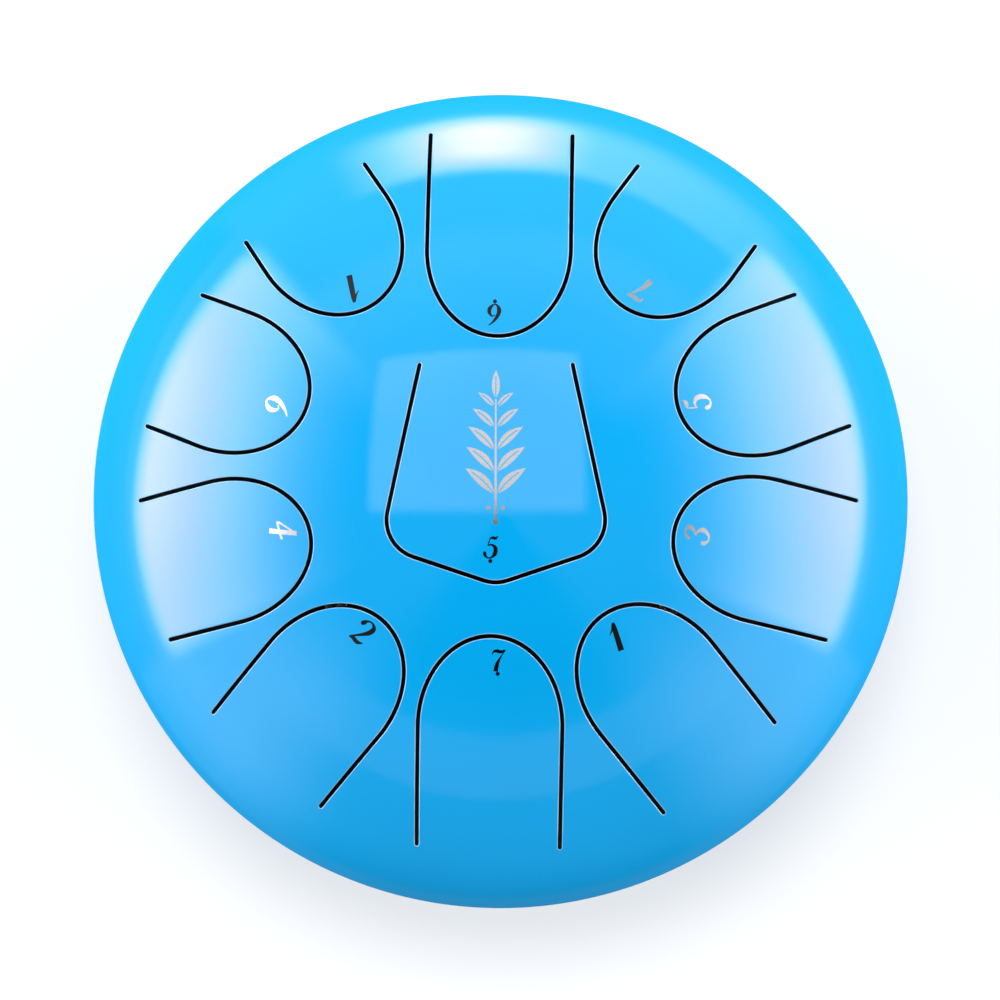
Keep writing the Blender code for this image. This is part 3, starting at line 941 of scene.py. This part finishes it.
class Graph:
    """Adds shader nodes and joins them: an input may be a number, a colour or another node's output."""

    def __init__(self, tree):
        self.tree = tree
        tree.nodes.clear()

    def node(self, kind, inputs=None, output=0, **settings):
        made = self.tree.nodes.new("ShaderNode" + kind)
        for name, value in settings.items():
            setattr(made, name, value)
        for name, value in (inputs or {}).items():
            if isinstance(value, bpy.types.NodeSocket):
                self.tree.links.new(value, made.inputs[name])
            else:
                made.inputs[name].default_value = value
        return made.outputs[output] if made.outputs else None

    def math(self, operation, *values):
        return self.node("Math", dict(enumerate(values)), operation=operation)

    def ramp(self, value, low, high, start=0.0, end=1.0, shape="SMOOTHSTEP"):
        """Goes smoothly from start to end as value goes from low to high."""
        inputs = {"Value": value, "From Min": low, "From Max": high, "To Min": start, "To Max": end}
        return self.node("MapRange", inputs, interpolation_type=shape)

    def noise(self, where, scale, detail=2.0, roughness=0.5):
        inputs = {"Vector": where, "Scale": scale, "Detail": detail, "Roughness": roughness}
        return self.node("TexNoise", inputs)

    def mix(self, share, first, second):
        """Mixes two colours."""
        return self.node("Mix", {0: share, 6: first, 7: second}, output=2, data_type="RGBA")

    def bump(self, height, strength, distance, normal=None):
        inputs = {"Height": height, "Strength": strength, "Distance": distance}
        if normal:
            inputs["Normal"] = normal
        return self.node("Bump", inputs)

    def place(self):
        return self.node("TexCoord", output=3)  # the object's own coordinates, in metres


def new_material(name, build):
    finish = bpy.data.materials.new(name)
    finish.use_nodes = True
    graph = Graph(finish.node_tree)
    shader = build(graph)
    graph.node("OutputMaterial", {"Surface": shader})
    return finish


def principled(graph, **inputs):
    names = {name.replace("_", " ").title().replace("Ior", "IOR"): value for name, value in inputs.items()}
    return graph.node("BsdfPrincipled", names)


ETCHED_GREY_BY_LIGHT = {"dark": 0.04, "half_lit": 0.36, "bright": 0.42}  # in the order of the finishes; painted shade and painted light, as one etched steel is made darker or lighter for what it reflects
BLUE = (0.0005, 0.335, 0.73, 1)
PALE_BLUE = (0.45, 0.70, 0.86, 1)


def enamel(graph):
    """Glossy baked paint: a faint mottle, orange peel under a clear coat, and pale edges that are partly
    worn paint and partly a painted highlight.
    """
    where = graph.place()
    mottle = graph.ramp(graph.noise(where, 14), 0.3, 0.7, 0.97, 1.03, "LINEAR")
    shade = graph.node("HueSaturation", {"Color": BLUE, "Value": mottle})
    # pale edge colour: worn paint, and also a painted highlight along the rounded edges
    edge_wear_and_glint = graph.node("Attribute", output=2, attribute_name="edge_wear_and_glint")
    patchy_wear_and_glint = graph.ramp(graph.noise(where, 90), 0.35, 0.65, 0.35, 0.8)
    colour = graph.mix(graph.math("MULTIPLY", edge_wear_and_glint, patchy_wear_and_glint), shade, PALE_BLUE)
    peel = graph.bump(graph.noise(where, 420, 1.0), 0.12, 0.05 * MM)
    facing_away = graph.node("LayerWeight", output=1)
    coat = graph.ramp(facing_away, 0.25, 0.85, 1.0, 0.14)  # keeps glancing reflections from washing out
    return principled(graph, base_color=colour, roughness=0.42, specular_ior_level=0.0, coat_weight=coat,
                      coat_roughness=0.035, coat_ior=1.5, coat_normal=peel)


def raw_steel_and_wall_shade(graph):
    """The unpainted inside: dark rolled sheet with streaks and scale. It is also put on slot and hole walls
    as painted shade, in place of their enamel.
    """
    where = graph.place()
    stretched = graph.node("Mapping", {"Vector": where, "Scale": (1.0, 14.0, 14.0)})
    streaks = graph.noise(stretched, 60, 4.0)
    scale = graph.noise(where, 35, 5.0, 0.65)
    colour = graph.mix(graph.ramp(scale, 0.35, 0.7), (0.05, 0.051, 0.054, 1), (0.11, 0.10, 0.093, 1))
    roughness = graph.ramp(streaks, 0.3, 0.7, 0.45, 0.7, "LINEAR")
    relief = graph.bump(streaks, 0.25, 0.05 * MM)
    return principled(graph, base_color=colour, metallic=0.5, roughness=roughness, specular_ior_level=0.2,
                      normal=relief)


def etched_steel(graph, grey):
    """Bare steel where the enamel is etched away: fairly glossy, with a fine hatch. The dark copy's grey is
    painted shade, the lighter copies' greys painted light.
    """
    where = graph.place()
    wave = {"Vector": where, "Scale": 900.0, "Distortion": 1.5, "Detail": 2.0}
    hatch = graph.node("TexWave", wave, output=1)
    grain = graph.noise(where, 1500, 3.0)
    dull, shiny = (0.8 * grey, 0.8 * grey, 0.84 * grey, 1), (1.2 * grey, 1.2 * grey, 1.2 * grey, 1)
    colour = graph.mix(grain, dull, shiny)
    relief = graph.bump(hatch, 0.1, 0.01 * MM, graph.bump(grain, 0.1, 0.01 * MM))
    return principled(graph, base_color=colour, metallic=1.0, roughness=0.16, normal=relief)


def rubber(graph):
    where = graph.place()
    grain = graph.noise(where, 1800, 4.0, 0.6)
    dust = graph.ramp(graph.noise(where, 120, 3.0), 0.45, 0.75)
    colour = graph.mix(dust, (0.016, 0.016, 0.017, 1), (0.035, 0.034, 0.033, 1))
    return principled(graph, base_color=colour, roughness=graph.ramp(grain, 0.3, 0.7, 0.6, 0.8, "LINEAR"),
                      specular_ior_level=0.35, normal=graph.bump(grain, 0.35, 0.08 * MM))


def zinc_steel(graph):
    """Bright zinc plating, with a faint yellow and blue passivation bloom and fine machining."""
    where = graph.place()
    bloom = graph.ramp(graph.noise(where, 240, 2.0), 0.35, 0.65)
    colour = graph.mix(bloom, (0.62, 0.66, 0.72, 1), (0.72, 0.70, 0.62, 1))
    grain = graph.noise(where, 2600, 3.0)
    return principled(graph, base_color=colour, metallic=1.0,
                      roughness=graph.ramp(grain, 0.3, 0.7, 0.22, 0.36, "LINEAR"),
                      normal=graph.bump(grain, 0.1, 0.02 * MM))


# ---- Studio.  The light is in the world's shader.  Bearings and heights are in degrees.  A plateau is
# given by where it begins, is full, begins to fall and ends, a ramp by its two ends and its values there.

RIGHT, BACK, LEFT, FRONT = 0, 90, 180, -90
BACKDROP = 1.05  # what the camera sees
FILL_SHARE = 0.3  # how much of the light in reflections also falls on matt surfaces
LOW_FILL = 1.6
LOW_FILL_HEIGHTS = (-30, -20, 15, 25)
LOW_FILL_TURN = (20, 70)  # from the front
FRONT_FILL = (0.3, -0.7, 0.0, 0.3)  # along a ray's y
GLARE_TINT = (1.0, 0.55, 1.0, 1)  # the brightest light in reflections
GLARE_RANGE = (2, 11)
PANELS = ((RIGHT + 12, 10.2, 0.62), (LEFT - 12, 12.0, 0.6))  # bearing, light, the share at its sides
PANEL_HALF = 34
PANEL_SOFT = 3
PANEL_FOOT = (-5, 9)
PANEL_FADE = (12, 64)  # from its full light to the light at its top
PANEL_TOP_LIGHT = 0.36
PANEL_TOP_SOFT = 5
PANEL_FULL = 5  # how far from its middle its light is full
LEFT_FOOT_RISE = (50, 90, 7, 0)  # by the turn from the back
PANEL_SHADE = 0.5  # what a panel leaves of the weak light below it
PANEL_SHADE_HEIGHTS = (-2, -14)
STRIP_LIGHT = 15.0
STRIP_BEARINGS = (75, 93, 93, 111)
STRIP_HEIGHTS = (-23, -2, 8, 23)
BAND_LIGHT = (38, 90, 0.8, 2.9)  # by the bearing
BAND_BEARINGS = (31, 41, 108, 118)
BAND_HEIGHTS = (-30, -2, 15, 21)
WEAK_LIGHT = (35, 110, 0.72, 1.7)  # by the turn from the back
WEAK_IN_FRONT = (26, 52, 0.15, 1.0)  # shares by the turn from the front
WEAK_OVERHEAD = (35, 66, 1.0, 0.15)  # shares by the height
WEAK_LOWEST = (50, 85, -60, -28)  # where the light is least, by the turn from the back
WEAK_FULL = 8.0
WEAK_BELOW = 0.45
DEEP_LIGHT = 0.4  # straight below
DEEP_HEIGHTS = (-30, -60)
WINDOWS = (  # light, bearing, the turns from it over which the light falls, and heights
    (0.5, BACK, (40, 60), (35, 45, 63, 73)),
    (0.4, FRONT, (25, 55), (31, 35, 49, 53)),
)
PATCH_LIGHT = 1.7
PATCH_X = (-0.395, -0.355, 0.195, 0.235)  # on a ceiling 1 m up
PATCH_Y = (-0.02, 0.02, 0.44, 0.48)
CEILING_END = (0.0, 0.1)  # where the ceiling fades in, along a ray's z
NEARLY_ONE = 0.9999  # keeps a cosine within its range
LEAST_RISE = 0.001  # the least z to divide by


class Sky(Graph):
    """Light as a function of a ray's direction."""

    def __init__(self, tree):
        super().__init__(tree)
        toward = self.node("TexCoord")
        self.x, self.y, self.z = (self.node("SeparateXYZ", {0: toward}, output=axis) for axis in range(3))
        self.azimuth = self.math("ARCTAN2", self.y, self.x)  # in radians
        self.elevation = self.math("DEGREES", self.math("ARCSINE", self.z))

    def away_from(self, direction):
        """The angle in degrees, seen from above, between the ray and a direction."""
        turn = self.math("COSINE", self.math("SUBTRACT", self.azimuth, math.radians(direction)))
        return self.math("DEGREES", self.math("ARCCOSINE", self.math("MULTIPLY", turn, NEARLY_ONE)))

    def joined(self, operation, first, *others):
        for other in others:
            first = self.math(operation, first, other)
        return first

    def times(self, *values):
        return self.joined("MULTIPLY", *values)

    def fall(self, value, low, high):
        """1 below low, 0 above high."""
        return self.ramp(value, low, high, 1.0, 0.0)

    def plateau(self, value, low, full, over, high):
        """Rises from low to full, and falls from over to high."""
        return self.times(self.ramp(value, low, full), self.fall(value, over, high))


def side_panels(sky):
    """A tall panel on each side, and the shade that they leave of the weak light below them."""
    foot_rise = sky.ramp(sky.away_from(BACK), *LEFT_FOOT_RISE, "LINEAR")
    heights = (sky.elevation, sky.math("SUBTRACT", sky.elevation, foot_rise))
    lights, shade = [], 1.0
    for (bearing, light, side_share), height in zip(PANELS, heights):
        away = sky.away_from(bearing)
        within = sky.fall(away, PANEL_HALF - PANEL_SOFT, PANEL_HALF + PANEL_SOFT)
        across = sky.ramp(away, PANEL_FULL, PANEL_HALF, 1.0, side_share)
        upward = sky.ramp(sky.elevation, *PANEL_FADE, light, PANEL_TOP_LIGHT)
        top = sky.fall(sky.elevation, PANEL_FADE[1] - PANEL_TOP_SOFT, PANEL_FADE[1] + PANEL_TOP_SOFT)
        lights.append(sky.times(within, across, upward, sky.ramp(height, *PANEL_FOOT), top))
        hidden = sky.times(within, sky.ramp(sky.elevation, *PANEL_SHADE_HEIGHTS))
        shade = sky.times(shade, sky.ramp(hidden, 0, 1, 1.0, PANEL_SHADE))
    return lights, shade


def back_lights(sky):
    """A bright strip low at the back, within a dimmer band that runs on to its right."""
    bearing = sky.math("DEGREES", sky.azimuth)
    strip = sky.plateau(sky.elevation, *STRIP_HEIGHTS)
    band = sky.plateau(sky.elevation, *BAND_HEIGHTS)
    return [
        sky.times(sky.plateau(bearing, *STRIP_BEARINGS), strip, STRIP_LIGHT),
        sky.times(sky.ramp(bearing, *BAND_LIGHT), sky.plateau(bearing, *BAND_BEARINGS), band),
    ]


def weak_light(sky, shade):
    """Weak light all round: least in front, less below the horizon and overhead, and even deep down."""
    from_back = sky.away_from(BACK)
    around = sky.ramp(sky.away_from(FRONT), *WEAK_IN_FRONT)
    lowest = sky.ramp(from_back, *WEAK_LOWEST)
    sinking = sky.ramp(sky.elevation, lowest, WEAK_FULL, WEAK_BELOW, 1.0, "LINEAR")
    rising = sky.ramp(sky.elevation, *WEAK_OVERHEAD)
    deep = sky.ramp(sky.elevation, *DEEP_HEIGHTS)
    shallow = sky.math("SUBTRACT", 1.0, deep)
    forward = sky.ramp(from_back, *WEAK_LIGHT)
    return [sky.times(around, sinking, rising, shade, shallow, forward), sky.times(deep, DEEP_LIGHT)]


def windows(sky):
    """Faint windows high at the back and in front, and a patch overhead."""
    lights = []
    for light, bearing, turns, heights in WINDOWS:
        within = sky.fall(sky.away_from(bearing), *turns)
        lights.append(sky.times(within, sky.plateau(sky.elevation, *heights), light))
    above = sky.math("MAXIMUM", sky.z, LEAST_RISE)
    x, y = (sky.math("DIVIDE", side, above) for side in (sky.x, sky.y))
    overhead = sky.ramp(sky.z, *CEILING_END)
    return [*lights, sky.times(sky.plateau(x, *PATCH_X), sky.plateau(y, *PATCH_Y), overhead, PATCH_LIGHT)]


def build_world():
    world = bpy.data.worlds.new("studio")
    bpy.context.scene.world = world
    world.use_nodes = True
    sky = Sky(world.node_tree)
    panels, shade = side_panels(sky)
    total = sky.joined("ADD", *panels, *back_lights(sky), *weak_light(sky, shade), *windows(sky))
    low = sky.plateau(sky.elevation, *LOW_FILL_HEIGHTS)
    low = sky.times(low, sky.ramp(sky.away_from(FRONT), *LOW_FILL_TURN), LOW_FILL)
    fill = sky.math("ADD", low, sky.ramp(sky.y, *FRONT_FILL))
    matt = sky.math("MULTIPLY_ADD", total, FILL_SHARE, fill)
    for_camera = sky.node("LightPath")
    for_gloss = sky.node("LightPath", output=3)
    lit = sky.node("Mix", {0: for_gloss, 2: matt, 3: total})
    strength = sky.node("Mix", {0: for_camera, 2: lit, 3: BACKDROP})
    glare = sky.times(for_gloss, sky.ramp(total, *GLARE_RANGE))
    tint = sky.mix(glare, (1, 1, 1, 1), GLARE_TINT)
    background = sky.node("Background", {"Color": tint, "Strength": strength})
    sky.node("OutputWorld", {"Surface": background})


FLOOR_HALF = 3.0
UNLIT_RADIUS = 60 * MM  # painted shade: the floor is dark in the middle, under the drum, where little light would reach
SHADE_PAINTED_FLOOR = (0.02, 0.02, 0.02, 1)
PALE_FLOOR = (0.93, 0.93, 0.93, 1)
FLOOR_GLOW = 0.4  # lightens the drum's shadow


def build_floor():
    """A pale floor that is seen only from above, with painted shade in the middle."""
    corners = [(x * FLOOR_HALF, y * FLOOR_HALF, 0) for x, y in ((-1, -1), (1, -1), (1, 1), (-1, 1))]
    def pale(graph):
        reach = graph.node("VectorMath", {0: graph.place()}, operation="LENGTH", output=1)
        # painted shade: the floor's colour and glow fall to dark within this reach
        shade = graph.ramp(reach, UNLIT_RADIUS, 2 * UNLIT_RADIUS)
        matt = graph.node("BsdfDiffuse", {"Color": graph.mix(shade, SHADE_PAINTED_FLOOR, PALE_FLOOR)})
        glow = graph.node("Emission", {"Strength": shade})
        surface_light = graph.node("MixShader", {0: FLOOR_GLOW, 1: matt, 2: glow})
        underside = graph.node("NewGeometry", output=6)
        return graph.node("MixShader", {0: underside, 1: surface_light, 2: graph.node("BsdfTransparent")})

    floor = linked("floor", smooth_mesh("floor", corners, [(0, 1, 2, 3)], new_material("pale_floor", pale)))
    floor.visible_glossy = False
    floor.visible_diffuse = False


LAMP_LEAN = 17  # degrees from straight above, towards the back
LAMP_SPREAD = 24  # degrees across: how soft its shadow is
LAMP_POWER = 1.2


def build_lamp():
    """The lamp above and a little behind that casts the soft shadow in front of the drum."""
    lamp = bpy.data.lights.new("lamp", "SUN")
    lamp.energy = LAMP_POWER
    lamp.angle = math.radians(LAMP_SPREAD)
    made = linked("lamp", lamp)
    made.rotation_euler = (math.radians(-LAMP_LEAN), 0, 0)
    made.visible_glossy = False


CAMERA_DISTANCE = 2.0
CAMERA_FROM = Vector((0.0207, -0.0548, 0.9983))
CAMERA_RIGHT = Vector((0.9998, 0.0011, -0.0207))
CAMERA_LENS = 192.55


def build_camera():
    """Almost straight above, as the object is usually pictured."""
    data = bpy.data.cameras.new("camera")
    data.sensor_width = 36
    data.lens = CAMERA_LENS
    camera = linked("camera", data)
    back = CAMERA_FROM.normalized()
    right = (CAMERA_RIGHT - back * CAMERA_RIGHT.dot(back)).normalized()
    up = back.cross(right)
    rotation = Matrix((right, up, back)).transposed().to_4x4()
    place = Vector((0, 0, RIM_HEIGHT)) + back * CAMERA_DISTANCE
    camera.matrix_world = Matrix.Translation(place) @ rotation
    bpy.context.scene.camera = camera


def main():
    paint = new_material("enamel", enamel)
    inside_and_wall_shade = new_material("raw_steel_and_wall_shade", raw_steel_and_wall_shade)
    etched = [new_material(name + "_etched_steel", lambda graph, grey=grey: etched_steel(graph, grey))
              for name, grey in ETCHED_GREY_BY_LIGHT.items()]
    black = new_material("rubber", rubber)
    zinc = new_material("zinc_steel", zinc_steel)
    build_top([paint, inside_and_wall_shade, *etched])
    build_bottom([paint, inside_and_wall_shade])
    build_weld(paint)
    for foot in FEET:
        build_foot(foot, black, zinc)
    build_world()
    build_floor()
    build_lamp()
    build_camera()
    bpy.context.scene.view_settings.view_transform = "Standard"


main()
